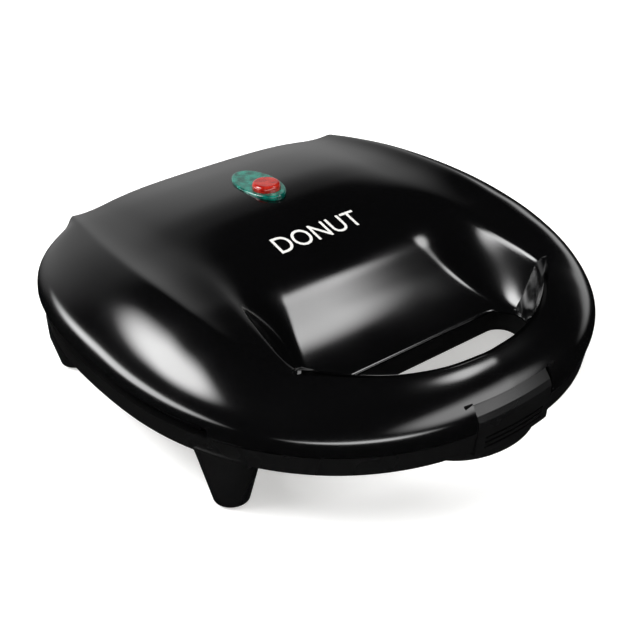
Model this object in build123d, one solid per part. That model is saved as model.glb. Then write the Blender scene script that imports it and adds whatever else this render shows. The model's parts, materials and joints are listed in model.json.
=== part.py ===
from build123d import *
import math
import os

# Donut maker, millimetres. +X right seen from the front, front = -Y, +Z up, ground at z = 0.
# The working origin is below the widest section; every piece is moved by CENTRE_Y on writing,
# so that the whole appliance's box is centred on the origin.

# Overall shape
PARTING_Z = 36.0          # plane where lid and base meet
SKIRT_BOTTOM_Z = 26.8     # lower edge of the base's outer band
FLOOR_Z = 12.0            # lowest part of the underside between the legs
HALF_WIDTH = 112.5
FRONT_DEPTH = 122.7
REAR_DEPTH = 118.0        # of the full oval, before the rear wall cuts it
REAR_WALL_Y = 90.0
REAR_BOW_R = 1100.0
FRONT_POWER = 2.2         # exponents of the two half ovals
REAR_POWER = 2.7
WALL = 2.5
LID_GAP = 0.25            # between lid and base at the parting line
CENTRE_Y = 10.65

# Finger opening
BODY_FRONT_Y = -64.0      # far wall of the opening
OPENING_HALF = 53.0
HANDLE_INNER_Y = -107.0
OPENING_CORNER_R = 8.0
FLARE = ((36.0, 53.0), (43.0, 62.0), (50.0, 69.5), (60.0, 75.0))   # z, half-width of the flared top

# Side vent: the lid's lower edge is raised here
VENT_TOP_Z = 42.0
VENT_FRONT_Y = -59.0
VENT_REAR_Y = 78.0

# Legs
LEG_X = 90.4
LEG_FRONT_Y = -58.2
LEG_REAR_Y = 66.0
LEG_TOP_R = 14.0
LEG_END_R = 7.5
LEG_END_Z = 1.5
PAD_R = 5.6
PAD_TOP_Z = 4.0

# Hinge
HINGE_Y = 96.0
HINGE_X = 62.0
KNUCKLE_R = 5.5
LID_KNUCKLE_HALF = 6.5
EAR_INNER = 7.0
EAR_OUTER = 13.0
HINGE_PIN_R = 2.0
RUNNING = 0.05            # radial clearance of a running fit

# Latch
LATCH_HALF = 20.3
LATCH_TOP_Z = 46.5
LATCH_FOOT_Z = 24.5
LATCH_GAP = 0.5
LATCH_AXIS_Y = -114.2
LATCH_AXIS_Z = 43.3
LATCH_BARREL_R = 3.0
LATCH_PIN_R = 1.25
LATCH_PLATE_BACK_Y = -117.6
CATCH_FACE_Y = -114.6
CATCH_TIP_Y = -116.9
CATCH_HALF = 14.0
HOOK_CLEARANCE = 0.5

# Cooking plates
RING_PITCH = 60.0
RING_ROWS_Y = (-14.0, 46.0)
RING_COLUMNS_X = (-RING_PITCH, 0.0, RING_PITCH)
RING_MAJOR_R = 19.0
RING_MINOR_R = 9.5
PLATE_WALL = 1.8
PLATE_SLAB = 2.5
PLATE_GAP = 0.3           # from the parting plane to each cooking face
PLATE_INSET = 6.0
PLATE_FRONT_Y = -51.0
PLATE_REAR_Y = 84.0
FIT = 0.04                # radial clearance of a seated pin or pad
PLATE_SCREWS = ((-96.0, 16.0), (96.0, 16.0), (-30.0, 77.0), (30.0, 77.0))

SCREW_R = 1.9
SCREW_HEAD_R = 3.6
SCREW_HEAD_T = 2.2
SCREW_LENGTH = 9.0
SCREW_BOSS_R = 4.2
PLATE_BOTTOM = PARTING_Z - PLATE_GAP - PLATE_SLAB
PLATE_TOP = PARTING_Z + PLATE_GAP + PLATE_SLAB
LOWER_HEAD_Z = 22.0

# Wiring
LEAD_R = 1.6
LEAD_BASE_X = 24.0
LEAD_LID_X = 42.0
LEAD_BASE_Z = 31.0
LEAD_LID_Z = 45.0
LEAD_MEET_X = 33.0
GLAND_Z = 31.4
GLAND_R = 4.2

# Thumb lip, keeper and grip
LIP_BOTTOM_Z = 19.0
LIP_CENTRE_Y = -100.0
LIP_HALF = 30.0
LIP_DEPTH = 20.5
KEEPER_BOTTOM_Z = 24.0
CHEEK = 4.0
SKIRT_SECTIONS = ((SKIRT_BOTTOM_Z, HALF_WIDTH - 1.4, FRONT_DEPTH - 1.4, REAR_DEPTH - 1.4),
                  (PARTING_Z, HALF_WIDTH, FRONT_DEPTH, REAR_DEPTH))
GRIP_GROOVES_Z = (27.2, 29.6, 32.0)
GRIP_HALF = 16.0
GRIP_HEIGHT = 1.0
SENSOR_X = 30.0
SENSOR_Y = 16.0

# Heating elements
TUBE_R = 3.25
LOOP_HALF = 75.0
LOOP_BEND_R = 12.0
TERMINAL_X = 12.0
TERMINAL_Y = 64.0
LOWER_HEATER_Z = PARTING_Z - PLATE_GAP - RING_MINOR_R - PLATE_WALL - TUBE_R - 0.05
UPPER_HEATER_Z = PARTING_Z + PLATE_GAP + RING_MINOR_R + PLATE_WALL + TUBE_R + 0.05
UPPER_SHIELD_Z = 55.2

# Lamps
LAMP_Y = 43.0
LENS_HALF_X = 9.75
LENS_HALF_Y = 16.75
LENS_TOP_Z = 73.3
READY_Y = 37.0
READY_R = 6.6
READY_TOP_Z = 76.2


def through(stations, at):
    """Smooth value at one place from a few (place, value) stations."""
    places = [p for p, v in stations]
    values = [v for p, v in stations]
    at = min(max(at, places[0]), places[-1])
    i = 0
    while i < len(places) - 2 and at > places[i + 1]:
        i += 1

    def slope(j):
        low, high = max(j - 1, 0), min(j + 1, len(places) - 1)
        return (values[high] - values[low]) / (places[high] - places[low])

    span = places[i + 1] - places[i]
    t = (at - places[i]) / span
    a, b = values[i], values[i + 1]
    m, n = slope(i) * span, slope(i + 1) * span
    return (2*t**3 - 3*t**2 + 1)*a + (t**3 - 2*t**2 + t)*m + (3*t**2 - 2*t**3)*b + (t**3 - t**2)*n


# The lid's crease runs round the top panel: (y, half-width) and (y, height).
CREASE_HALF = ((-70, 72.0), (-48, 80.9), (-24, 83.5), (0, 84.7), (24, 84.0), (48, 82.0), (72, 78.5), (100, 73.5))
CREASE_Z = ((-70, 58.5), (-48, 64.2), (-24, 68.0), (0, 70.0), (24, 69.6), (48, 68.6), (72, 66.4), (100, 61.5))
# The top panel on the centreline, (y, z), from the finger opening's edge to the rear.
PANEL_Z = ((-70, 36.2), (-40, 48.8), (-20, 58.0), (0, 66.0), (20, 70.8), (43, 72.4), (66, 70.4), (100, 62.4))
# How late the panel turns up into the crease.
PANEL_POWER = ((-70, 8.0), (-30, 5.0), (0, 3.0), (30, 2.5), (100, 2.5))
# Dome of the lid outside the crease: z, half-width, front depth, rear depth.
DOME = (
    (36.0, 112.5, 122.7, 118.0), (41.0, 115.0, 122.6, 119.0), (46.5, 114.3, 118.6, 118.5),
    (52.0, 111.6, 113.2, 117.0), (56.5, 108.5, 107.0, 115.0), (61.0, 104.5, 90.0, 111.5),
    (64.5, 100.0, 75.0, 106.5), (67.5, 95.0, 55.0, 95.0), (70.0, 84.7, 42.0, 80.0), (76.0, 60.0, 30.0, 60.0))
DOME_LEVELS = (36.0, 38.0, 40.5, 43.0, 46.0, 49.0, 52.0, 55.0, 58.0, 61.0, 64.0, 66.5, 68.5, 70.0, 73.0, 76.0)
# Inner top edge of the handle, from the side towards the middle: (x, y).
HANDLE_EDGE = ((70.3, -72.0), (58.5, -84.0), (42.4, -96.0), (26.0, -102.8))


def oval_point(angle, half, front, rear):
    c, s = math.cos(angle), math.sin(angle)
    power, depth = (REAR_POWER, rear) if s > 0 else (FRONT_POWER, front)
    x = half * math.copysign(abs(c) ** (2 / power), c)
    y = depth * math.copysign(abs(s) ** (2 / power), s)
    return x, y


def oval_wire(z, half, front, rear, inset=0.0, count=24):
    points = []
    for i in range(count):
        x, y = oval_point(math.pi / 2 + 2 * math.pi * i / count, half - inset, front - inset, rear - inset)
        points.append((x, y, z))
    return Wire([Edge.make_spline(points, periodic=True)])


def oval_solid(sections, inset=0.0, drop=0.0):
    wires = [oval_wire(z - drop, half, front, rear, inset) for z, half, front, rear in sections]
    return Solid.make_loft(wires, True)


def dome_sections():
    """The dome's outlines at evenly spread heights."""
    columns = [[(row[0], row[k]) for row in DOME] for k in (1, 2, 3)]
    return [(z, *[through(column, z) for column in columns]) for z in DOME_LEVELS]


def block(x0, x1, y0, y1, z0, z1):
    return Pos((x0 + x1) / 2, (y0 + y1) / 2, (z0 + z1) / 2) * Box(x1 - x0, y1 - y0, z1 - z0)


def rod(radius, length, x, y, z):
    """Cylinder along X, centred on (x, y, z)."""
    return Pos(x, y, z) * Rot(0, 90, 0) * Cylinder(radius, length)


def post(radius, x, y, z0, z1):
    return Pos(x, y, (z0 + z1) / 2) * Cylinder(radius, z1 - z0)


def rear_limit(wall=0.0):
    """Everything in front of the rear wall, which is slightly bowed."""
    bow = Pos(0, REAR_WALL_Y - wall - REAR_BOW_R, 45) * Cylinder(REAR_BOW_R, 100)
    return bow & block(-130, 130, -140, REAR_WALL_Y, -5, 95)


def side_profile(points, half=130.0):
    """Prism along X from a (y, z) outline."""
    face = Plane.YZ * make_face(Polyline(*[(y, z) for y, z in points], close=True))
    return extrude(face, half, both=True)


def opening_outline(z, half, corner, edge, apex, back):
    """D-shaped ring: straight back, rounded back corners, curved front."""
    right = Edge.make_line((0, back, z), (half - corner, back, z))
    turn = Edge.make_three_point_arc(
        (half - corner, back, z),
        (half - corner * (1 - math.sqrt(0.5)), back - corner * (1 - math.sqrt(0.5)), z),
        (half, back - corner, z))
    front_points = [(half, back - corner, z)] + [(x, y, z) for x, y in edge] + [(0, apex, z)]
    front_points += [(-x, y, z) for x, y in reversed(edge)] + [(-half, back - corner, z)]
    front = Edge.make_spline(front_points)
    left = Edge.make_line((0, back, z), (-half + corner, back, z))
    turn_left = Edge.make_three_point_arc(
        (-half + corner, back, z),
        (-half + corner * (1 - math.sqrt(0.5)), back - corner * (1 - math.sqrt(0.5)), z),
        (-half, back - corner, z))
    return Wire([right, turn, front, turn_left, left])


def finger_opening(z0, z1, wall=0.0):
    """The straight part of the opening, through the handle."""
    edge = [(min(x, OPENING_HALF - 1.5) + wall, y - wall) for x, y in HANDLE_EDGE[1:]]
    wire = opening_outline(z0, OPENING_HALF + wall, OPENING_CORNER_R, edge, HANDLE_INNER_Y - wall, BODY_FRONT_Y + wall)
    return extrude(Face(wire), z1 - z0, dir=(0, 0, 1))


def scoop_funnel(wall=0.0):
    """Flared upper part of the opening, out to the handle's inner top edge."""
    rings = []
    for z, half in FLARE:
        edge = [(min(x, half - 1.5) + wall, y - wall) for x, y in HANDLE_EDGE[1:]]
        rings.append(opening_outline(z, half + wall, OPENING_CORNER_R, edge, HANDLE_INNER_Y - wall, BODY_FRONT_Y + wall))
    return Solid.make_loft(rings, True) + extrude(Face(rings[-1]), 30, dir=(0, 0, 1))


def panel_height(x, y):
    half = through(CREASE_HALF, y)
    edge = through(CREASE_Z, y)
    middle = through(PANEL_Z, y)
    power = through(PANEL_POWER, y)
    u = abs(x) / half
    rise = u ** power if u <= 1 else 1 + power * (u - 1)
    return middle + (edge - middle) * rise


def above_panel(drop=0.0):
    """Solid above the top panel's surface."""
    xs = [-126 + 252 * i / 36 for i in range(37)]
    ys = [BODY_FRONT_Y + 160 * j / 24 for j in range(25)]
    rows = [[Vector(x, y, panel_height(x, y) - drop) for y in ys] for x in xs]
    surface = Face.make_surface_from_array_of_points(rows)
    return Solid.extrude(surface, Vector(0, 0, 90))


def lid_shell():
    dome = dome_sections()
    outer = (oval_solid(dome) - above_panel()) & rear_limit()
    inner = oval_solid([(PARTING_Z - 4 + WALL, HALF_WIDTH, FRONT_DEPTH, REAR_DEPTH)] + dome[1:], WALL, WALL)
    inner = (inner - above_panel(WALL)) & rear_limit(WALL)
    walls = finger_opening(0, 60, WALL) + scoop_funnel(WALL)
    shell = outer - (inner - walls)
    shell = shell - finger_opening(0, 60) - scoop_funnel()
    vent = block(-140, 140, VENT_FRONT_Y, VENT_REAR_Y, PARTING_Z - 5, VENT_TOP_Z)
    shell = shell - vent
    shell = shell - block(-140, 140, -140, 140, 0, PARTING_Z + LID_GAP)
    for x, y in PLATE_SCREWS:
        shell = shell + (post(SCREW_BOSS_R, x, y, PLATE_TOP + 0.05, 68) & outer)
        shell = shell - post(SCREW_R + 0.1, x, y, 30, PLATE_TOP + SCREW_LENGTH)
    # Bearing for the latch, in the front edge
    housing = block(-LATCH_HALF - 5, LATCH_HALF + 5, -126, HANDLE_INNER_Y - 0.5, PARTING_Z + 2.5, 53)
    shell = shell + (housing & outer)
    notch = block(-LATCH_HALF - LATCH_GAP, LATCH_HALF + LATCH_GAP, -130, LATCH_AXIS_Y + LATCH_BARREL_R + 0.6,
                  30, LATCH_TOP_Z + 0.9)
    shell = shell - notch
    shell = shell - rod(LATCH_PIN_R + FIT, 2 * LATCH_HALF + 7, 0, LATCH_AXIS_Y, LATCH_AXIS_Z)
    # Lamp windows
    window = Pos(0, LAMP_Y, 58) * extrude(Ellipse(LENS_HALF_X + 0.15, LENS_HALF_Y + 0.15), 30)
    shell = shell - window
    # Hinge knuckles
    for side in (-1, 1):
        arm = side_profile(((HINGE_Y, PARTING_Z), (HINGE_Y, PARTING_Z + KNUCKLE_R), (REAR_WALL_Y - 0.2, 52),
                            (REAR_WALL_Y - WALL, 52), (REAR_WALL_Y - WALL, VENT_TOP_Z - 2)), LID_KNUCKLE_HALF)
        knuckle = rod(KNUCKLE_R, 2 * LID_KNUCKLE_HALF, 0, HINGE_Y, PARTING_Z) + arm
        shell = shell + Pos(side * HINGE_X, 0, 0) * knuckle
        shell = shell - rod(HINGE_PIN_R + RUNNING, 30, side * HINGE_X, HINGE_Y, PARTING_Z)
        shell = shell - Pos(side * LEAD_LID_X, REAR_WALL_Y, LEAD_LID_Z) * Rot(90, 0, 0) * Cylinder(LEAD_R + 0.3, 8)
    return shell


def base_shell():
    outer = oval_solid(SKIRT_SECTIONS) & rear_limit()
    band_floor = SKIRT_BOTTOM_Z + WALL
    band_inner = oval_solid(((band_floor, 111.6, 121.8, 117), (PARTING_Z + 4, 112, 122, 117)), WALL)
    pan = ((FLOOR_Z, 80.0, 92.0, 86.0), (SKIRT_BOTTOM_Z, 109.0, 119.0, 114.0))
    pan_side = ((BODY_FRONT_Y, SKIRT_BOTTOM_Z), (-38, FLOOR_Z), (62, FLOOR_Z), (88, SKIRT_BOTTOM_Z))
    pan_inner_side = ((BODY_FRONT_Y + 3, 29.5), (-37, 14.5), (61, 14.5), (85.4, 29.5))
    pan_outer = oval_solid(pan) & side_profile(pan_side)
    pan_wide = ((FLOOR_Z, 80.0, 92.0, 86.0), (SKIRT_BOTTOM_Z + 5, 118.0, 128.0, 123.0))
    pan_inner = oval_solid(pan_wide, WALL + 1) & side_profile(pan_inner_side)
    outer = outer + pan_outer
    inner = (band_inner & rear_limit(WALL)) + pan_inner
    outer = outer + lip_block(KEEPER_BOTTOM_Z, SKIRT_BOTTOM_Z + 1)
    # Legs, cut flush with the outer band
    flush_sections = ((0, 111.1, 121.3, 116.6), (PARTING_Z, 112.5, 122.7, 118))
    flush = oval_solid(flush_sections)
    flush_inner = oval_solid(flush_sections, WALL) & rear_limit(WALL)
    for x in (-LEG_X, LEG_X):
        for y in (LEG_FRONT_Y, LEG_REAR_Y):
            leg = Pos(x, y, (LEG_END_Z + 28) / 2) * Cone(LEG_END_R, LEG_TOP_R, 28 - LEG_END_Z)
            outer = outer + (leg & flush & rear_limit())
            core = Pos(x, y, 22) * Cone(LEG_TOP_R - 6.5, LEG_TOP_R - 2.6, 18)
            inner = inner + (core & flush_inner)
    shell = outer - (inner - finger_opening(0, 60, WALL)) - finger_opening(0, 60)
    for x in (-LEG_X, LEG_X):
        for y in (LEG_FRONT_Y, LEG_REAR_Y):
            shell = shell - post(PAD_R + FIT, x, y, 0, PAD_TOP_Z)
    # Plate screw bosses, bored from below
    for x, y in PLATE_SCREWS:
        boss = post(SCREW_BOSS_R, x, y, FLOOR_Z - 5, PLATE_BOTTOM - 0.05) & (outer + block(-130, 130, -60, 87, 24, 35))
        shell = shell + (boss & outer)
        shell = shell - post(SCREW_R + 0.1, x, y, 0, 40)
        shell = shell - post(SCREW_HEAD_R + 0.3, x, y, 0, LOWER_HEAD_Z)
    # Cheeks each side of the latch, and the gap that the keeper fills
    cheeks = block(-LATCH_HALF - CHEEK, LATCH_HALF + CHEEK, -126, HANDLE_INNER_Y - 0.5, KEEPER_BOTTOM_Z, PARTING_Z)
    shell = shell + (cheeks & outer)
    shell = shell - keeper_room(0)
    # Hinge ears
    for side in (-1, 1):
        for low, high in ((-EAR_OUTER, -EAR_INNER), (EAR_INNER, EAR_OUTER)):
            x = side * HINGE_X + (low + high) / 2
            arm = side_profile(((HINGE_Y, PARTING_Z), (HINGE_Y, PARTING_Z - KNUCKLE_R), (REAR_WALL_Y - 0.5, 28),
                                (REAR_WALL_Y - WALL, 28), (REAR_WALL_Y - WALL, PARTING_Z)), (high - low) / 2)
            shell = shell + Pos(x, 0, 0) * (rod(KNUCKLE_R, high - low, 0, HINGE_Y, PARTING_Z) + arm)
        shell = shell - rod(HINGE_PIN_R + FIT, 2 * EAR_OUTER - 2, side * HINGE_X, HINGE_Y, PARTING_Z)
    # Cord inlet
    shell = shell - Pos(0, REAR_WALL_Y - 2, GLAND_Z) * Rot(90, 0, 0) * Cylinder(GLAND_R, 14)
    # Lead holes
    for side in (-1, 1):
        shell = shell - Pos(side * LEAD_BASE_X, REAR_WALL_Y, LEAD_BASE_Z) * Rot(90, 0, 0) * Cylinder(LEAD_R + 0.3, 8)
    return shell


def lip_block(low, high):
    """Thumb lip under the handle, between two heights."""
    lip = Pos(0, LIP_CENTRE_Y, 0) * extrude(Ellipse(LIP_HALF, LIP_DEPTH), high)
    return lip & block(-40, 40, -126, HANDLE_INNER_Y, low, high)


def thumb_lip():
    return lip_block(LIP_BOTTOM_Z, KEEPER_BOTTOM_Z - FIT)


def keeper_room(gap):
    half = LATCH_HALF + LATCH_GAP - gap
    return block(-half, half, -126, -98, KEEPER_BOTTOM_Z - 1 + gap, PARTING_Z + 1) - finger_opening(0, 60)


def latch_keeper():
    """Insert behind the latch that carries the catch."""
    skirt = oval_solid(SKIRT_SECTIONS) + lip_block(KEEPER_BOTTOM_Z, SKIRT_BOTTOM_Z + 1)
    recess = block(-40, 40, -130, CATCH_FACE_Y, 0, 60)
    insert = (skirt & keeper_room(FIT)) - recess
    catch = side_profile(((CATCH_FACE_Y + 0.5, 33.5), (CATCH_FACE_Y, 33.5), (CATCH_TIP_Y, 31.6), (CATCH_TIP_Y, 30.8),
                          (CATCH_FACE_Y, 30.4), (CATCH_FACE_Y + 0.5, 30.4)), CATCH_HALF)
    return insert + catch


def latch():
    dome = oval_solid([(SKIRT_BOTTOM_Z - 4, 111.5, 121.9, 117.2), (PARTING_Z, 112.5, 122.7, 118)] + dome_sections()[1:])
    plate = block(-LATCH_HALF, LATCH_HALF, -130, LATCH_PLATE_BACK_Y, LATCH_FOOT_Z, LATCH_TOP_Z)
    plate = plate + block(-LATCH_HALF, LATCH_HALF, -130, LATCH_AXIS_Y, LATCH_AXIS_Z - LATCH_BARREL_R, LATCH_TOP_Z)
    piece = plate & dome
    barrel = rod(LATCH_BARREL_R, 2 * LATCH_HALF, 0, LATCH_AXIS_Y, LATCH_AXIS_Z)
    corner = block(-LATCH_HALF, LATCH_HALF, LATCH_AXIS_Y - 2.2, LATCH_AXIS_Y + 5, LATCH_AXIS_Z, LATCH_TOP_Z + 1)
    piece = piece - (corner - barrel) + barrel
    hook_tip = CATCH_TIP_Y - HOOK_CLEARANCE
    hook = side_profile(((LATCH_PLATE_BACK_Y - 0.5, 30.2), (hook_tip, 30.2), (hook_tip, 29.0),
                         (LATCH_PLATE_BACK_Y - 0.5, 27.5)), CATCH_HALF)
    piece = piece + hook
    piece = piece - rod(LATCH_PIN_R + RUNNING, 60, 0, LATCH_AXIS_Y, LATCH_AXIS_Z)
    for z in GRIP_GROOVES_Z:
        groove = block(-GRIP_HALF, GRIP_HALF, -126, -120.6, z - GRIP_HEIGHT / 2, z + GRIP_HEIGHT / 2)
        piece = piece - groove
    return piece


def latch_pin():
    return rod(LATCH_PIN_R, 2 * LATCH_HALF + 7, 0, LATCH_AXIS_Y, LATCH_AXIS_Z)


def hinge_pins():
    pins = [rod(HINGE_PIN_R, 2 * EAR_OUTER - 2, side * HINGE_X, HINGE_Y, PARTING_Z) for side in (-1, 1)]
    return Compound(children=pins)


def group(shapes):
    solids = []
    for shape in shapes:
        solids += shape.solids()
    return Compound(children=solids)


def foot_pads():
    pads = []
    for x in (-LEG_X, LEG_X):
        for y in (LEG_FRONT_Y, LEG_REAR_Y):
            pad = post(PAD_R, x, y, 0, PAD_TOP_Z)
            pads.append(fillet(pad.edges().group_by(Axis.Z)[0], 0.8))
    return group(pads)


def plate(sign):
    """Cooking plate: sign -1 is the lower one, +1 the upper one."""
    face_z = PARTING_Z + sign * PLATE_GAP
    back_z = face_z + sign * PLATE_SLAB
    low, high = min(face_z, back_z), max(face_z, back_z)
    outline = ((low, HALF_WIDTH, FRONT_DEPTH, REAR_DEPTH), (high, HALF_WIDTH, FRONT_DEPTH, REAR_DEPTH))
    slab = oval_solid(outline, PLATE_INSET) & block(-120, 120, PLATE_FRONT_Y, PLATE_REAR_Y, low, high)
    half_space = block(-120, 120, -120, 120, face_z, face_z + 30) if sign > 0 else block(
        -120, 120, -120, 120, face_z - 30, face_z)
    for x in RING_COLUMNS_X:
        for y in RING_ROWS_Y:
            body = Pos(x, y, face_z) * Torus(RING_MAJOR_R, RING_MINOR_R + PLATE_WALL)
            slab = slab + (body & half_space)
    for x in RING_COLUMNS_X:
        for y in RING_ROWS_Y:
            slab = slab - Pos(x, y, face_z) * Torus(RING_MAJOR_R, RING_MINOR_R)
    for x, y in PLATE_SCREWS:
        slab = slab - post(SCREW_R + 0.1, x, y, low - 1, high + 1)
        if sign > 0:
            slab = slab - post(SCREW_HEAD_R + 0.2, x, y, face_z - 1, face_z + 1.3)
    return slab


def heater(z):
    front, rear = RING_ROWS_Y
    corners = [(-TERMINAL_X, TERMINAL_Y, z), (-TERMINAL_X, rear, z), (-LOOP_HALF, rear, z), (-LOOP_HALF, front, z),
               (LOOP_HALF, front, z), (LOOP_HALF, rear, z), (TERMINAL_X, rear, z), (TERMINAL_X, TERMINAL_Y, z)]
    path = FilletPolyline(*corners, radius=LOOP_BEND_R)
    start = Plane(origin=corners[0], z_dir=(0, -1, 0))
    return sweep(start * Circle(TUBE_R), path)


def reflector(z, half, front, rear, lip):
    tray = block(-half, half, front, rear, z, z + lip)
    tray = fillet(tray.edges().filter_by(Axis.Z), 12)
    hollow = block(-half + 0.8, half - 0.8, front + 0.8, rear - 0.8, z + 0.8, z + lip + 1)
    hollow = fillet(hollow.edges().filter_by(Axis.Z), 11.2)
    return tray - hollow


def lower_screws():
    screws = []
    for x, y in PLATE_SCREWS:
        screws.append(post(SCREW_R, x, y, LOWER_HEAD_Z - SCREW_HEAD_T + 0.1, PARTING_Z - PLATE_GAP - 0.4)
                      + post(SCREW_HEAD_R, x, y, LOWER_HEAD_Z - SCREW_HEAD_T, LOWER_HEAD_Z))
    return group(screws)


def upper_screws():
    screws = []
    head_z = PARTING_Z + PLATE_GAP + 0.1
    for x, y in PLATE_SCREWS:
        head = Pos(x, y, head_z + 0.6) * Cylinder(SCREW_HEAD_R, 1.2)
        screws.append(head + post(SCREW_R, x, y, head_z + 0.5, head_z + SCREW_LENGTH))
    return group(screws)


def thermostat():
    x, y = SENSOR_X, SENSOR_Y
    body = post(8, x, y, PLATE_BOTTOM - 7, PLATE_BOTTOM) + post(5, x, y, PLATE_BOTTOM - 9, PLATE_BOTTOM)
    return body + block(x - 10, x + 10, y - 2.5, y + 2.5, PLATE_BOTTOM - 9.6, PLATE_BOTTOM - 8.8)


def thermal_fuse():
    return Pos(-SENSOR_X, SENSOR_Y, PLATE_BOTTOM - 2.2) * Rot(90, 0, 0) * Cylinder(2.2, 18)


def terminal_block():
    body = block(20.5, 34.5, 59, 65, 17.0, 25.0)
    for x in (24, 31):
        body = body - post(1.6, x, 62, 21, 26)
    return body


def cord_gland():
    outer = Pos(0, REAR_WALL_Y + 2.5, GLAND_Z) * Rot(90, 0, 0) * Cylinder(GLAND_R, 13)
    flange = Pos(0, REAR_WALL_Y + 1.3, GLAND_Z) * Rot(90, 0, 0) * Cylinder(GLAND_R + 1.4, 2.4)
    bore = Pos(0, REAR_WALL_Y, GLAND_Z) * Rot(90, 0, 0) * Cylinder(2.6, 40)
    return outer + flange - bore


def leads(x, z):
    """Sleeved leads from inside the shell, round to the hinge line."""
    solids = []
    for side in (-1, 1):
        corners = [(side * x, REAR_WALL_Y - 6, z), (side * x, HINGE_Y, z),
                   (side * x, HINGE_Y, PARTING_Z), (side * LEAD_MEET_X, HINGE_Y, PARTING_Z)]
        path = FilletPolyline(*corners, radius=1.9)
        solids.append(sweep(Plane(origin=corners[0], z_dir=(0, 1, 0)) * Circle(LEAD_R), path))
    return group(solids)


def power_lens():
    body = Pos(0, LAMP_Y, 66.5) * extrude(Ellipse(LENS_HALF_X, LENS_HALF_Y), LENS_TOP_Z - 66.5)
    body = fillet(body.edges().group_by(Axis.Z)[-1], 0.8)
    return body - post(READY_R + 0.1, 0, READY_Y, 60, 80)


def ready_lens():
    body = post(READY_R, 0, READY_Y, 67, READY_TOP_Z)
    return fillet(body.edges().group_by(Axis.Z)[-1], 1.6)


def lamp_holder():
    body = block(-9, 9, 27.5, 58.5, 58.5, 66.4)
    return body - block(-7.4, 7.4, 29, 57, 60, 70)


def lamp(y):
    bulb = Pos(0, y, 63) * Rot(90, 0, 0) * Cylinder(2.6, 9)
    return bulb + Pos(0, y + 5.5, 63) * Sphere(2.6)


def parts():
    return {
        "base_shell": base_shell(),
        "latch_keeper": latch_keeper(),
        "thumb_lip": thumb_lip(),
        "foot_pads": foot_pads(),
        "lower_plate": plate(-1),
        "lower_heater": heater(LOWER_HEATER_Z),
        "lower_reflector": reflector(15.6, 70, -34, 58, 3),
        "lower_screws": lower_screws(),
        "thermostat": thermostat(),
        "thermal_fuse": thermal_fuse(),
        "terminal_block": terminal_block(),
        "cord_gland": cord_gland(),
        "base_leads": leads(LEAD_BASE_X, LEAD_BASE_Z),
        "hinge_pins": hinge_pins(),
        "lid_shell": lid_shell(),
        "upper_plate": plate(1),
        "upper_heater": heater(UPPER_HEATER_Z),
        "upper_reflector": reflector(UPPER_SHIELD_Z, 70, -8, 72, 0.9),
        "upper_screws": upper_screws(),
        "power_lens": power_lens(),
        "ready_lens": ready_lens(),
        "lamp_holder": lamp_holder(),
        "power_lamp": lamp(48.5),
        "ready_lamp": lamp(33.5),
        "lid_leads": leads(LEAD_LID_X, LEAD_LID_Z),
        "latch": latch(),
        "latch_pin": latch_pin(),
    }


if __name__ == "__main__":
    os.makedirs("parts", exist_ok=True)
    for name, shape in parts().items():
        export_step(Pos(0, CENTRE_Y, 0) * shape, f"parts/{name}.step")
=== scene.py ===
import json
import math

import bmesh
import bpy
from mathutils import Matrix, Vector


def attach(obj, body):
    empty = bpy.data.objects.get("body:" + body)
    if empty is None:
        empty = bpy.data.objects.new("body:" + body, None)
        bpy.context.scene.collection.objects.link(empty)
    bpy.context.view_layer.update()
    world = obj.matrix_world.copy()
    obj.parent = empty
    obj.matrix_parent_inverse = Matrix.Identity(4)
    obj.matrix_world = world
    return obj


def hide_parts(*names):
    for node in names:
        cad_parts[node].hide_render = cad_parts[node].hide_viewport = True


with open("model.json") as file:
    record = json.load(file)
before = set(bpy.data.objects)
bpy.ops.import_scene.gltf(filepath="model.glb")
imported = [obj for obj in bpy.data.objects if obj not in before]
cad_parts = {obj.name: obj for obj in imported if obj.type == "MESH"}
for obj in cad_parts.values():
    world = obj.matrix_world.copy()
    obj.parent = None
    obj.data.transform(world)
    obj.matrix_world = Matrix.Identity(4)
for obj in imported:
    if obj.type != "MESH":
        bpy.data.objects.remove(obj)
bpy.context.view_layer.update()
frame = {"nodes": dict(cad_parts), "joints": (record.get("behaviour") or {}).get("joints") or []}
scene = bpy.context.scene

# Lengths are millimetres in the appliance's own design frame: +X right, -Y to the handle, +Z up,
# y = 0 at the widest section. place() turns them into the frame's metres. Only the bumps, the floor and
# the distances and sizes of the lights and camera are in metres.
MM = 0.001
HINGE_Y = 96.0
PARTING_Z = 36.0
hinge = next(j for j in frame["joints"] if j["name"] == "lid_hinge")
SHIFT_Y = hinge["pos_m"][1] / MM - HINGE_Y

# Outline at the parting plane: two half ovals, the rear one cut off by a nearly flat wall.
HALF_WIDTH = 112.5
FRONT_DEPTH = 122.7
REAR_DEPTH = 118.0
FRONT_POWER = 2.2
REAR_POWER = 2.7
REAR_WALL_Y = 90.0
REAR_CORNER_POWER = 26
LID_EDGE_Z = 36.3
# Air gap along each side of the lid: its top, and where it starts and ends.
VENT_TOP_Z = 42.0
VENT_FRONT_Y = -59.0
VENT_REAR_Y = 80.0
# Height of the lid's skin where it reaches the handle's opening.
LIP_Z = 36.9

# Middle and half sizes of the oval lamp window, which crosses the middle of the lid.
LAMP_Y = 43.0
LENS_HALF_X = 9.75
LENS_HALF_Y = 16.75
# The lid's skin has no faces that lie wholly inside this share of the window's oval.
WINDOW_SHARE = 0.86


def place(x, y, z):
    return Vector((x * MM, (y + SHIFT_Y) * MM, z * MM))


def direction(azimuth, elevation):
    """Unit vector out from the appliance: azimuth 0 is the front, 90 is +X."""
    a = math.radians(azimuth)
    e = math.radians(elevation)
    return Vector((math.sin(a) * math.cos(e), -math.cos(a) * math.cos(e), math.sin(e)))


def add_object(name, data):
    obj = bpy.data.objects.new(name, data)
    scene.collection.objects.link(obj)
    return obj


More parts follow.
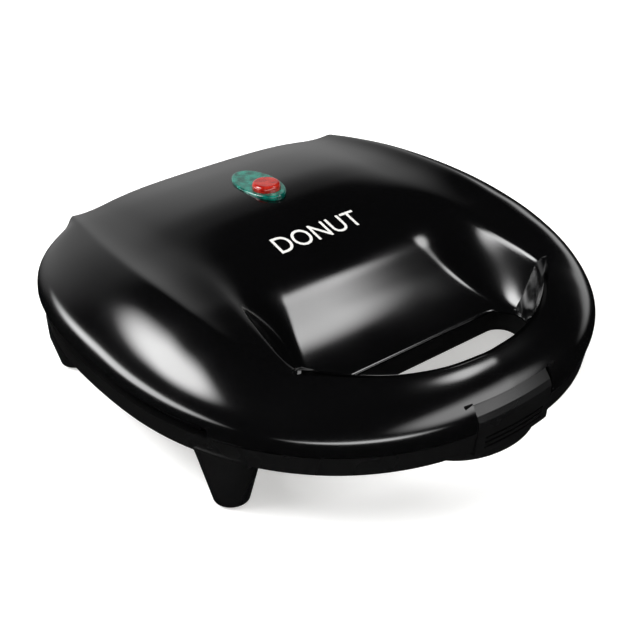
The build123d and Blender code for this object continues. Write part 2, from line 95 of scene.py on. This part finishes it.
def through(stations, at):
    """Smooth value at one place from a few (place, value) stations."""
    places = [p for p, v in stations]
    values = [v for p, v in stations]
    at = min(max(at, places[0]), places[-1])
    i = 0
    while i < len(places) - 2 and at > places[i + 1]:
        i += 1

    def slope(j):
        low, high = max(j - 1, 0), min(j + 1, len(places) - 1)
        return (values[high] - values[low]) / (places[high] - places[low])

    span = places[i + 1] - places[i]
    t = (at - places[i]) / span
    a, b = values[i], values[i + 1]
    m, n = slope(i) * span, slope(i + 1) * span
    return (2*t**3 - 3*t**2 + 1)*a + (t**3 - 2*t**2 + t)*m + (3*t**2 - 2*t**3)*b + (t**3 - t**2)*n


def smooth_step(t):
    t = min(max(t, 0.0), 1.0)
    return t * t * (3 - 2 * t)


def mix(a, b, t):
    return a + (b - a) * t


# ---------------------------------------------------------------- materials

def new_material(name):
    material = bpy.data.materials.new(name)
    material.use_nodes = True
    nodes = material.node_tree.nodes
    return material, nodes, material.node_tree.links, nodes["Principled BSDF"]


def noise_bump(nodes, links, shader, scale, strength, distance, detail=4.0):
    coord = nodes.new("ShaderNodeTexCoord")
    noise = nodes.new("ShaderNodeTexNoise")
    noise.inputs["Scale"].default_value = scale
    noise.inputs["Detail"].default_value = detail
    bump = nodes.new("ShaderNodeBump")
    bump.inputs["Strength"].default_value = strength
    bump.inputs["Distance"].default_value = distance
    links.new(coord.outputs["Object"], noise.inputs["Vector"])
    links.new(noise.outputs["Fac"], bump.inputs["Height"])
    links.new(bump.outputs["Normal"], shader.inputs["Normal"])
    return noise


def ramp_between(nodes, links, source, low, high, start=0.35, end=0.65):
    ramp = nodes.new("ShaderNodeValToRGB")
    ramp.color_ramp.elements[0].position = start
    ramp.color_ramp.elements[1].position = end
    ramp.color_ramp.elements[0].color = (*low, 1)
    ramp.color_ramp.elements[1].color = (*high, 1)
    links.new(source, ramp.inputs["Fac"])
    return ramp.outputs["Color"]


def rough_between(nodes, links, source, low, high):
    span = nodes.new("ShaderNodeMapRange")
    span.inputs["From Min"].default_value = 0.3
    span.inputs["From Max"].default_value = 0.7
    span.inputs["To Min"].default_value = low
    span.inputs["To Max"].default_value = high
    links.new(source, span.inputs["Value"])
    return span.outputs["Result"]


def plastic(name, dark, light, rough_low, rough_high, scale, strength, distance, coat=0.0):
    material, nodes, links, shader = new_material(name)
    noise = noise_bump(nodes, links, shader, scale, strength, distance)
    colour = ramp_between(nodes, links, noise.outputs["Fac"], dark, light)
    links.new(colour, shader.inputs["Base Color"])
    broad = nodes.new("ShaderNodeTexNoise")
    broad.inputs["Scale"].default_value = 25.0
    links.new(noise.inputs["Vector"].links[0].from_socket, broad.inputs["Vector"])
    roughness = rough_between(nodes, links, broad.outputs["Fac"], rough_low, rough_high)
    links.new(roughness, shader.inputs["Roughness"])
    shader.inputs["IOR"].default_value = 1.5
    shader.inputs["Coat Weight"].default_value = coat
    shader.inputs["Coat Roughness"].default_value = 0.04
    return material


gloss_black = plastic(
    "gloss_black", (0.0012, 0.0012, 0.0013), (0.002, 0.002, 0.0022), 0.12, 0.19, 900, 0.02, 0.00002, 0.5)
satin_black = plastic(
    "satin_black", (0.003, 0.003, 0.003), (0.005, 0.005, 0.0052), 0.24, 0.34, 1800, 0.25, 0.00003)
rubber = plastic("rubber_black", (0.012, 0.012, 0.012), (0.02, 0.02, 0.02), 0.65, 0.8, 1500, 0.4, 0.00005)
nonstick = plastic("nonstick", (0.018, 0.018, 0.02), (0.035, 0.035, 0.038), 0.32, 0.45, 2500, 0.5, 0.00004)
nylon = plastic("white_nylon", (0.72, 0.71, 0.68), (0.8, 0.79, 0.76), 0.4, 0.5, 900, 0.1, 0.00003)
ceramic = plastic("ceramic", (0.75, 0.72, 0.66), (0.85, 0.83, 0.78), 0.55, 0.7, 1200, 0.2, 0.00003)
sleeve = plastic("sleeve", (0.6, 0.56, 0.45), (0.75, 0.72, 0.62), 0.7, 0.85, 3000, 0.8, 0.0001)


def metal(name, dark, light, rough_low, rough_high, scale):
    material = plastic(name, dark, light, rough_low, rough_high, scale, 0.15, 0.00002)
    material.node_tree.nodes["Principled BSDF"].inputs["Metallic"].default_value = 1.0
    return material


steel = metal("steel", (0.5, 0.5, 0.5), (0.65, 0.65, 0.66), 0.22, 0.35, 1500)
shield = metal("shield", (0.68, 0.68, 0.7), (0.78, 0.78, 0.8), 0.18, 0.3, 400)
heater_tube = metal("heater_tube", (0.3, 0.3, 0.31), (0.45, 0.45, 0.46), 0.4, 0.55, 600)


def lens_material(name, tint, bright):
    material, nodes, links, shader = new_material(name)
    noise = noise_bump(nodes, links, shader, 280, 0.3, 0.0003, 1.5)
    colour = ramp_between(nodes, links, noise.outputs["Fac"], tint, bright, 0.4, 0.62)
    links.new(colour, shader.inputs["Base Color"])
    shader.inputs["Roughness"].default_value = 0.08
    shader.inputs["IOR"].default_value = 1.49
    shader.inputs["Transmission Weight"].default_value = 0.25
    shader.inputs["Coat Weight"].default_value = 1.0
    shader.inputs["Coat Roughness"].default_value = 0.03
    return material


green_glass = lens_material("green_lens", (0.0, 0.10, 0.075), (0.01, 0.26, 0.19))
red_glass = lens_material("red_lens", (0.42, 0.012, 0.006), (0.6, 0.03, 0.016))
lamp_glass = lens_material("lamp_glass", (0.6, 0.4, 0.3), (0.8, 0.6, 0.5))

# ---------------------------------------------------------------- shared outlines

# Half width and height of the crease between the lid's top and its sloping rim, along y.
CREASE_HALF = (
    (-78, 64.7), (-72, 70.3), (-66, 74.6), (-60, 77.4), (-48, 80.9), (-36, 82.6), (-24, 83.7), (0, 84.7),
    (24, 84.2), (48, 82.2), (72, 78.8), (90, 75.6))
CREASE_Z = (
    (-78, 58.2), (-72, 58.4), (-66, 59.4), (-60, 61.0), (-48, 64.0), (-36, 66.2), (-24, 68.0), (0, 69.9),
    (24, 69.7), (48, 68.6), (72, 66.4), (90, 63.4))
# Height of the top on the centreline as if there were no finger scoop, and of the scoop's ramp.
SHELF_Z = (
    (-72, 60.0), (-40, 65.5), (-20, 67.3), (0, 69.3), (20, 71.2), (43, 72.4), (66, 70.3), (90, 65.4))
RAMP_Z = (
    (-74, 36.9), (-66, 37.0), (-60, 38.2), (-50, 41.8), (-40, 47.0), (-30, 53.6), (-26, 56.4), (-20, 59.6),
    (-12, 62.3), (-1, 65.3), (12, 68.6), (26, 71.2), (43, 72.4), (66, 70.3), (90, 65.4))
# How far the top sags below the crease just inside it, along y.
DIP = ((-72, 0.3), (-40, 1.6), (0, 2.6), (40, 2.2), (90, 1.2))
# Half widths of the scoop: of its ramp, and out to the fold where its walls end.
VALLEY_HALF = (
    (-74, 53.1), (-66, 52.6), (-56, 50.0), (-40, 44.5), (-20, 37.0), (0, 29.0), (20, 22.0), (43, 16.0))
FOLD_HALF = ((-72, 66.4), (-66, 67.2), (-58, 67.3), (-39, 65.5), (5, 62.5), (43, 61.0))
# Above 1 the scoop's walls leave the ramp level and steepen outwards.
WALL_CURVE = 1.55
# The handle's inner top edge in plan and height, from the side to the middle, and the opening's foot
# under it.
HANDLE_TOP = (
    (74.6, -66.0, 59.4), (70.3, -72.0, 58.4), (62.0, -80.5, 58.1), (51.1, -90.0, 57.8), (38.0, -98.3, 57.2),
    (20.0, -104.6, 56.6), (0.0, -107.0, 56.5))
HANDLE_FOOT = (
    (52.6, -66.0), (53.0, -72.0), (52.4, -78.5), (48.0, -87.4), (36.8, -96.7), (19.4, -103.1), (0.0, -105.4))
# The handle opening's half width, its rear edge and the radius of its rear corners.
OPENING_HALF = 53.0
OPENING_Y = -64.0
CORNER_R = 8.0


def outline_point(angle):
    """Where the outline at the parting plane lies in a direction: an oval with a flat rear wall."""
    c, s = math.cos(angle), math.sin(angle)
    depth = FRONT_DEPTH if s < 0 else REAR_DEPTH
    power = FRONT_POWER if s < 0 else REAR_POWER
    radius = (abs(c / HALF_WIDTH) ** power + abs(s / depth) ** power) ** (-1 / power)
    if s > 0:
        wall = (REAR_WALL_Y - 3.5 * (c / max(s, 0.3)) ** 2 * 0.9) / max(s, 0.05)
        radius = (radius ** -REAR_CORNER_POWER + wall ** -REAR_CORNER_POWER) ** (-1 / REAR_CORNER_POWER)
    return radius * c, radius * s


def top_height(x, y):
    """Height of the lid's top inside the crease."""
    half = through(CREASE_HALF, y)
    edge_z = through(CREASE_Z, y)
    u = min(abs(x) / half, 1.0)
    dip = through(DIP, y)
    side = edge_z - dip
    shelf = mix(through(SHELF_Z, y), side, min(u / 0.92, 1.0) ** 1.7)
    shelf += dip * max(0.0, (u - 0.8) / 0.2) ** 2.2
    valley = through(VALLEY_HALF, y)
    fold = through(FOLD_HALF, y)
    s = min(max((abs(x) - valley) / (fold - valley), 0.0), 1.0)
    middle = through(SHELF_Z, y) - through(RAMP_Z, y)
    return shelf - (shelf - through(SHELF_Z, y) + middle) * (1 - s ** WALL_CURVE)


# ---------------------------------------------------------------- mesh helpers

def add_box(work, x0, x1, y0, y1, z0, z1):
    plan = ((x0, y0), (x1, y0), (x1, y1), (x0, y1))
    corners = [work.verts.new(place(x, y, z)) for z in (z0, z1) for x, y in plan]
    for a, b, c, d in ((3, 2, 1, 0), (4, 5, 6, 7), (0, 1, 5, 4), (1, 2, 6, 5), (2, 3, 7, 6), (3, 0, 4, 7)):
        work.faces.new((corners[a], corners[b], corners[c], corners[d]))


def add_rod(work, x0, x1, y, z, radius, steps=32):
    angles = [2 * math.pi * i / steps for i in range(steps)]
    circle = [(y + radius * math.cos(a), z + radius * math.sin(a)) for a in angles]
    rings = [[work.verts.new(place(x, *point)) for point in circle] for x in (x0, x1)]
    for i in range(steps):
        j = (i + 1) % steps
        work.faces.new((rings[0][i], rings[0][j], rings[1][j], rings[1][i]))
    work.faces.new(list(reversed(rings[0])))
    work.faces.new(rings[1])


def box_object(name, *extent):
    mesh = bpy.data.meshes.new(name)
    work = bmesh.new()
    add_box(work, *extent)
    work.to_mesh(mesh)
    work.free()
    return add_object(name, mesh)


class Sheet:
    """Points and faces collected for one mesh."""

    def __init__(self):
        self.points = []
        self.faces = []

    def add(self, x, y, z):
        self.points.append((x, y, z))
        return len(self.points) - 1

    def strip(self, first, second):
        """Faces between two equally long lines of points."""
        for i in range(len(first) - 1):
            self.faces.append((first[i], first[i + 1], second[i + 1], second[i]))


# ---------------------------------------------------------------- lid shell

ROWS = 60
COLUMNS_MIDDLE = 26
COLUMNS_WALL = 7
COLUMNS_STRIP = 4
COLUMNS_SIDE = COLUMNS_WALL + COLUMNS_STRIP
REAR_EDGE_Y = 88.0
REAR_BOW = 4.0
HANDLE_STEPS = 40
LID_WALL = 2.0
SHARP_ANGLE = 42
# The latch's notch in the handle's front: x, y and z from and to.
NOTCH = (-20.8, 20.8, -130, -110.4, 30, 47.4)


def side_fractions(y):
    """How far each side column lies from the scoop's valley (0) to the crease (1)."""
    valley = through(VALLEY_HALF, y)
    knee = (through(FOLD_HALF, y) - valley) / (through(CREASE_HALF, y) - valley)
    wall = [knee * (i / COLUMNS_WALL) ** 0.85 for i in range(COLUMNS_WALL + 1)]
    strip = [mix(knee, 1.0, 1 - (1 - i / COLUMNS_STRIP) ** 1.3) for i in range(1, COLUMNS_STRIP + 1)]
    return wall + strip


def top_row(k):
    """Points of row k of the lid's top, from the left crease to the right one."""
    y_row = mix(REAR_EDGE_Y, OPENING_Y, k / ROWS)
    bow = REAR_BOW * smooth_step((y_row - 40) / 48)
    forward = CORNER_R * smooth_step((-10 - y_row) / (-10 - OPENING_Y)) ** 1.5
    y_side = y_row - forward
    right = []
    for i in range(COLUMNS_MIDDLE // 2 + 1):
        share = 2 * i / COLUMNS_MIDDLE
        reach = max(share * OPENING_HALF - (OPENING_HALF - CORNER_R), 0.0)
        droop = 1 - math.sqrt(max(CORNER_R ** 2 - reach ** 2, 0.0)) / CORNER_R
        y = y_row - forward * droop
        right.append((share * through(VALLEY_HALF, y_side), y))
    for share in side_fractions(y_side)[1:]:
        right.append((mix(through(VALLEY_HALF, y_side), through(CREASE_HALF, y_side), share), y_side))
    line = []
    for side in (-1, 1):
        points = [(side * x, y) for x, y in (right if side > 0 else reversed(right[1:]))]
        for x, y in points:
            y -= bow * (x / through(CREASE_HALF, y)) ** 2
            line.append((x, y, top_height(x, y)))
    return line


def lens_oval(point):
    """Below 1 inside the lamp window's oval, above 1 outside it."""
    return (point[0] / LENS_HALF_X) ** 2 + ((point[1] - LAMP_Y) / LENS_HALF_Y) ** 2


def build_lid_shell():
    """Lid skin: the top with its scoop, the handle's inner slope, the rim and the opening's foot."""
    sheet = Sheet()
    rows = [[sheet.add(*point) for point in top_row(k)] for k in range(ROWS + 1)]
    for k in range(ROWS):
        for i in range(len(rows[0]) - 1):
            quad = (rows[k][i], rows[k][i + 1], rows[k + 1][i + 1], rows[k + 1][i])
            if max(lens_oval(sheet.points[v]) for v in quad) > WINDOW_SHARE:
                sheet.faces.append(tuple(reversed(quad)))
    # Handle: bands from the crease down to the opening's foot, round from each side to the middle
    first = rows[-1][-COLUMNS_SIDE - 1:]
    ladder = [(i - 1) / (len(HANDLE_TOP) - 2) for i in range(len(HANDLE_TOP))]
    shares = side_fractions(-72.0)
    rise = sheet.points[first[-1]][2] - sheet.points[first[0]][2]
    heights = [(sheet.points[v][2] - sheet.points[first[0]][2]) / rise for v in first]

    def handle(t, side):
        """One band from the opening's foot up to the crease: t = 0 at the side, 1 in the middle."""
        top = [through([(ladder[i], HANDLE_TOP[i][a]) for i in range(len(ladder))], t) for a in range(3)]
        foot = [through([(ladder[i], HANDLE_FOOT[i][a]) for i in range(len(ladder))], t) for a in range(2)]
        line = []
        for j in range(COLUMNS_SIDE + 1):
            height = mix(heights[j], shares[j], smooth_step(t / 0.5))
            z = mix(LIP_Z, top[2], height)
            line.append((side * mix(foot[0], top[0], shares[j]), mix(foot[1], top[1], shares[j]), z))
        return line

    right = [first]
    left = [list(reversed(rows[-1][:COLUMNS_SIDE + 1]))]
    for i in range(1, HANDLE_STEPS + 1):
        t = i / HANDLE_STEPS
        right.append([sheet.add(*p) for p in handle(t, 1)])
        if t < 1:
            left.append([sheet.add(*p) for p in handle(t, -1)])
    left.append(right[-1])
    for i in range(len(right) - 1):
        sheet.strip(right[i], right[i + 1])
        sheet.strip(left[i + 1], left[i])
    # Crease loop: rear edge from the left, down the right side, round the handle, back up the left side
    loop = list(rows[0]) + [row[-1] for row in rows[1:]] + [band[-1] for band in right[1:]]
    loop += [band[-1] for band in reversed(left[1:-1])] + [row[0] for row in reversed(rows[1:])]
    build_rim(sheet, loop)
    # Opening's foot: a short wall down to the lid's lower edge
    foot = list(reversed(rows[-1][COLUMNS_SIDE:len(rows[-1]) - COLUMNS_SIDE]))
    foot += [band[0] for band in left[1:]] + [band[0] for band in reversed(right[1:-1])]
    lower = [sheet.add(*sheet.points[v][:2], LID_EDGE_Z) for v in foot]
    sheet.strip(foot + foot[:1], lower + lower[:1])
    mesh = bpy.data.meshes.new("lid_cover")
    mesh.from_pydata([place(*point) for point in sheet.points], [], sheet.faces)
    mesh.validate()
    lid = add_object("lid_cover", mesh)
    mesh.materials.append(gloss_black)
    for polygon in mesh.polygons:
        polygon.use_smooth = True
    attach(lid, "lid")
    finish_shell(lid)
    return lid


RIM_LEVELS = 15
EDGE_LEVELS = 3
# Outward reach of the lower handle of the rim's curve, which sets how far the rim swells.
BULGE = 7.5


def rim_section(crease, foot, t, out):
    """Point of the rim's cross-section: t = 0 at the foot, 1 at the crease."""
    run = Vector((crease[0] - foot[0], crease[1] - foot[1], 0))
    length = max(run.length, 0.001)
    outward = -run / length
    rise = crease[2] - foot[2]
    start = Vector((foot[0], foot[1], foot[2]))
    end = Vector(crease)
    low = start + outward * out + Vector((0, 0, 0.44 * rise))
    high = end + outward * 0.52 * length - Vector((0, 0, min(0.12 * rise, 0.32 * length)))
    a, b, c, d = (1 - t) ** 3, 3 * t * (1 - t) ** 2, 3 * t * t * (1 - t), t ** 3
    return start * a + low * b + high * c + end * d


def build_rim(sheet, loop):
    """Sloping rim from the crease loop down to the lid's edge, left open along the two side gaps."""
    lines = []
    low_lines = []
    vents = []
    for v in loop:
        crease = Vector(sheet.points[v])
        angle = math.atan2(crease.y, crease.x)
        fx, fy = outline_point(angle)
        foot = (fx, fy, PARTING_Z)
        # Full along the sides, less round the handle's tip and none at the rear wall
        out = BULGE * smooth_step((crease.y + 125) / 60) * (1 - smooth_step((crease.y - 70) / 14))
        start = next(t / 400 for t in range(400) if rim_section(crease, foot, t / 400, out).z >= VENT_TOP_Z)
        line = [v]
        for i in range(1, RIM_LEVELS + 1):
            t = mix(1.0, start, (i / RIM_LEVELS) ** 1.1)
            line.append(sheet.add(*rim_section(crease, foot, t, out)))
        lines.append(line)
        vents.append(VENT_FRONT_Y < rim_section(crease, foot, start, out).y < VENT_REAR_Y)
        low = [line[-1]]
        for i in range(1, EDGE_LEVELS + 1):
            point = rim_section(crease, foot, start * (1 - i / EDGE_LEVELS), out)
            low.append(sheet.add(point.x, point.y, max(point.z, LID_EDGE_Z)))
        low_lines.append(low)
    count = len(loop)
    for i in range(count):
        j = (i + 1) % count
        sheet.strip(lines[j], lines[i])
        if not (vents[i] or vents[j]):
            sheet.strip(low_lines[j], low_lines[i])


def finish_shell(obj):
    """Merges the sheet, rounds it, gives it a wall, cuts the latch's notch and marks the sharp edges."""
    mesh = obj.data
    work = bmesh.new()
    work.from_mesh(mesh)
    bmesh.ops.remove_doubles(work, verts=work.verts, dist=0.00001)
    bmesh.ops.delete(work, geom=[v for v in work.verts if not v.link_faces], context="VERTS")
    work.to_mesh(mesh)
    work.free()
    sub = obj.modifiers.new("smooth", "SUBSURF")
    sub.levels = 1
    sub.render_levels = 1
    sub.boundary_smooth = "PRESERVE_CORNERS"
    wall = obj.modifiers.new("wall", "SOLIDIFY")
    wall.thickness = LID_WALL * MM
    wall.offset = -1
    wall.use_even_offset = False
    cutter = box_object("notch", *NOTCH)
    notch = obj.modifiers.new("notch", "BOOLEAN")
    notch.operation = "DIFFERENCE"
    notch.object = cutter
    bpy.context.view_layer.update()
    solid = bpy.data.meshes.new_from_object(obj.evaluated_get(bpy.context.evaluated_depsgraph_get()))
    solid.set_sharp_from_angle(angle=math.radians(SHARP_ANGLE))
    obj.modifiers.clear()
    obj.data = solid
    bpy.data.objects.remove(cutter)


lid_cover = build_lid_shell()
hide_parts("lid_shell")

HINGE_X = 62.0
KNUCKLE_HALF = 6.4
KNUCKLE_RADIUS = 5.5
# Arm from each knuckle to the lid: y and z from and to.
KNUCKLE_ARM = (86.5, 95.5, 37.0, 41.4)
# The latch's bearing: a bridge behind the latch and a cheek at each side, as x, y and z from and to.
BEARING = (
    (-24.5, 24.5, -110.3, -107.9, 37.2, 50.0),
    (-24.5, -20.9, -118.0, -110.3, 37.2, 48.0),
    (20.9, 24.5, -118.0, -110.3, 37.2, 48.0))
FITTINGS_SHARP_ANGLE = 40


def build_lid_fittings():
    """Hinge knuckles at the rear and the latch's bearing at the front."""
    mesh = bpy.data.meshes.new("lid_fittings")
    work = bmesh.new()
    for x in (-HINGE_X, HINGE_X):
        x0, x1 = x - KNUCKLE_HALF, x + KNUCKLE_HALF
        add_rod(work, x0, x1, HINGE_Y, PARTING_Z, KNUCKLE_RADIUS)
        add_box(work, x0, x1, *KNUCKLE_ARM)
    for extent in BEARING:
        add_box(work, *extent)
    bmesh.ops.recalc_face_normals(work, faces=work.faces)
    work.to_mesh(mesh)
    work.free()
    for polygon in mesh.polygons:
        polygon.use_smooth = True
    mesh.set_sharp_from_angle(angle=math.radians(FITTINGS_SHARP_ANGLE))
    fittings = add_object("lid_fittings", mesh)
    mesh.materials.append(satin_black)
    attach(fittings, "lid")


build_lid_fittings()

# ---------------------------------------------------------------- carried-over pieces

NODE_MATERIALS = {
    "base_shell": satin_black, "latch_keeper": satin_black, "thumb_lip": satin_black, "foot_pads": rubber,
    "lower_plate": nonstick, "lower_heater": heater_tube, "lower_reflector": shield, "lower_screws": steel,
    "thermostat": ceramic, "thermal_fuse": sleeve, "terminal_block": nylon, "cord_gland": satin_black,
    "base_leads": sleeve, "hinge_pins": steel, "upper_plate": nonstick, "upper_heater": heater_tube,
    "upper_reflector": shield, "upper_screws": steel, "power_lens": green_glass, "ready_lens": red_glass,
    "lamp_holder": nylon, "power_lamp": lamp_glass, "ready_lamp": lamp_glass, "lid_leads": sleeve,
    "latch": satin_black, "latch_pin": steel}
for node, material in NODE_MATERIALS.items():
    for slot in frame["nodes"][node].material_slots:
        slot.material = material

# ---------------------------------------------------------------- floor, light, camera

LIGHT_AIM = (0, 0, 45)


def area_light(name, azimuth, elevation, distance, size_x, size_y, power, soft=True):
    """Rectangular studio light facing the lid, fading to nothing at its rim when soft."""
    light = bpy.data.lights.new(name, "AREA")
    light.shape = "RECTANGLE"
    light.size = size_x
    light.size_y = size_y
    light.energy = power
    obj = add_object(name, light)
    back = direction(azimuth, elevation)
    obj.location = place(*LIGHT_AIM) + back * distance
    obj.rotation_euler = back.to_track_quat("Z", "Y").to_euler()
    if soft:
        light.use_nodes = True
        tree = light.node_tree
        glow = tree.nodes["Emission"]
        inside = tree.nodes.new("ShaderNodeNewGeometry")
        centred = tree.nodes.new("ShaderNodeVectorMath")
        centred.operation = "MULTIPLY_ADD"
        centred.inputs[1].default_value = (2, 2, 0)
        centred.inputs[2].default_value = (-1, -1, 0)
        fade = tree.nodes.new("ShaderNodeTexGradient")
        fade.gradient_type = "SPHERICAL"
        shape = tree.nodes.new("ShaderNodeMapRange")
        shape.interpolation_type = "SMOOTHSTEP"
        shape.inputs["From Max"].default_value = 0.7
        tree.links.new(inside.outputs["Parametric"], centred.inputs[0])
        tree.links.new(centred.outputs[0], fade.inputs["Vector"])
        tree.links.new(fade.outputs["Fac"], shape.inputs["Value"])
        tree.links.new(shape.outputs["Result"], glow.inputs["Strength"])
    return obj


FLOOR_REACH = 1.1


def build_floor():
    """Pale floor, 2.2 m square, that glows faintly and isn't reflected in the gloss."""
    mesh = bpy.data.meshes.new("floor")
    corners = [(FLOOR_REACH * x, FLOOR_REACH * y, 0) for x, y in ((-1, -1), (1, -1), (1, 1), (-1, 1))]
    mesh.from_pydata(corners, [], [(0, 1, 2, 3)])
    floor = add_object("floor", mesh)
    material, _, _, shader = new_material("pale_floor")
    shader.inputs["Base Color"].default_value = (0.9, 0.9, 0.9, 1)
    shader.inputs["Roughness"].default_value = 0.6
    shader.inputs["Specular IOR Level"].default_value = 0.1
    shader.inputs["Emission Color"].default_value = (1.0, 0.99, 0.97, 1)
    shader.inputs["Emission Strength"].default_value = 0.45
    mesh.materials.append(material)
    floor.visible_glossy = False


def build_world():
    """White behind the appliance, nearly black to every reflection."""
    world = bpy.data.worlds.new("studio")
    scene.world = world
    world.use_nodes = True
    nodes, links = world.node_tree.nodes, world.node_tree.links
    dark = nodes["Background"]
    dark.inputs["Color"].default_value = (0.004, 0.004, 0.004, 1)
    white = nodes.new("ShaderNodeBackground")
    white.inputs["Color"].default_value = (1, 1, 1, 1)
    seen = nodes.new("ShaderNodeLightPath")
    either = nodes.new("ShaderNodeMixShader")
    links.new(seen.outputs["Is Camera Ray"], either.inputs["Fac"])
    links.new(dark.outputs["Background"], either.inputs[1])
    links.new(white.outputs["Background"], either.inputs[2])
    links.new(either.outputs["Shader"], nodes["World Output"].inputs["Surface"])


build_floor()
build_world()

fill = area_light("fill", 0, 90, 2.2, 3.0, 3.0, 45, soft=False)
fill.visible_glossy = False
area_light("left_box", -119, 43, 1.0, 1.05, 0.66, 27)
area_light("right_box", 65, 57, 1.0, 0.36, 0.3, 2.6)
area_light("front_box", 20, 25, 1.0, 1.3, 0.6, 8.0)
area_light("rear_wall", 165, 12, 1.4, 3.4, 2.0, 9.0)
area_light("left_low", -118, -1, 1.0, 1.8, 0.3, 12.0)
area_light("right_low", 100, 2, 1.0, 1.3, 0.3, 1.0)
area_light("front_low", -25, 4, 1.0, 1.5, 0.22, 8.0)

PRINT_SIZE = 13.0
PRINT_STRETCH = 1.1
PRINT_BASELINE_Y = -5.0
PRINT_LIFT = 0.1
PRINT_THICKNESS = 0.15
PRINT_EDGE = 1.5


def build_print():
    """A plain printed word on the top panel, bent to follow it."""
    text = bpy.data.curves.new("printed_word", "FONT")
    text.body = "DONUT"
    text.size = PRINT_SIZE
    text.align_x = "CENTER"
    text.resolution_u = 4
    stand_in = add_object("printed_word_curve", text)
    bpy.context.view_layer.update()
    flat = bpy.data.meshes.new_from_object(stand_in.evaluated_get(bpy.context.evaluated_depsgraph_get()))
    bpy.data.objects.remove(stand_in)
    work = bmesh.new()
    work.from_mesh(flat)
    bmesh.ops.triangulate(work, faces=work.faces)
    long_edges = [edge for edge in work.edges if edge.calc_length() > PRINT_EDGE]
    bmesh.ops.subdivide_edges(work, edges=long_edges, cuts=2)
    bmesh.ops.triangulate(work, faces=work.faces)
    for v in work.verts:
        x, y = v.co.x, v.co.y * PRINT_STRETCH + PRINT_BASELINE_Y
        v.co = place(x, y, top_height(x, y) + PRINT_LIFT)
    work.to_mesh(flat)
    work.free()
    word = add_object("printed_word", flat)
    flat.materials.append(nylon)
    skin = word.modifiers.new("ink", "SOLIDIFY")
    skin.thickness = PRINT_THICKNESS * MM
    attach(word, "lid")


build_print()

CAMERA_AZIMUTH = -38.9
CAMERA_ELEVATION = 31.68
CAMERA_DISTANCE = 0.5185
CAMERA_AIM = (-7.1, -7.4, 28.5)
CAMERA_LENS = 65.7


def build_camera():
    data = bpy.data.cameras.new("camera")
    data.sensor_width = 36.0
    data.lens = CAMERA_LENS
    data.clip_start = 0.01
    camera = add_object("camera", data)
    back = direction(CAMERA_AZIMUTH, CAMERA_ELEVATION)
    camera.location = place(*CAMERA_AIM) + back * CAMERA_DISTANCE
    camera.rotation_euler = back.to_track_quat("Z", "Y").to_euler()
    scene.camera = camera


build_camera()
scene.view_settings.view_transform = "Standard"
